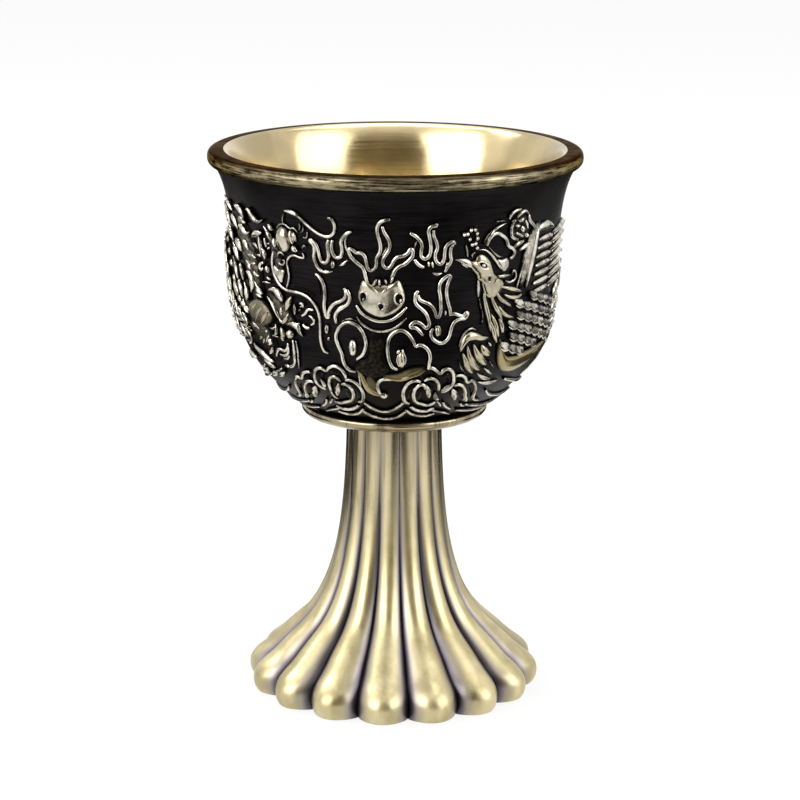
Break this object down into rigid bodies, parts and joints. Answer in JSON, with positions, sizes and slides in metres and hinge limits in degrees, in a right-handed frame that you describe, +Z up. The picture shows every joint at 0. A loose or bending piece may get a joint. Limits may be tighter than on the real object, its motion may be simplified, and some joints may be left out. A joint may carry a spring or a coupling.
{
  "type": "stemmed liquor cup",
  "caption": "Small goblet for spirits: polished brass liner with a beaded lip in a dark cast bowl, on a hollow fluted brass foot held by a screw through the stem.",
  "frame": {"origin": "centre of the resting plane under the foot", "axes": "+Z up along the stem, -Y towards the side seen in the picture, +X to the right as seen there"},
  "size_m": [0.045, 0.045, 0.0668],
  "materials": {
    "bright_brass": "polished inside, brushed on the lip",
    "dark_bronze": "blackened casting, raised work rubbed bright",
    "antique_brass": "satin, aged dark in the valleys",
    "zinc_plated_steel": "zinc plated",
    "cured_epoxy": "matt"
  },
  "bodies": {
    "root": {"liner_cup": "bright_brass", "bond_pad": "cured_epoxy", "bowl_shell": "dark_bronze", "seat_collar": "antique_brass", "fluted_foot": "antique_brass", "base_plate": "antique_brass", "stem_screw": "zinc_plated_steel", "spring_washer": "zinc_plated_steel", "flat_washer": "zinc_plated_steel"}
  },
  "joints": []
}
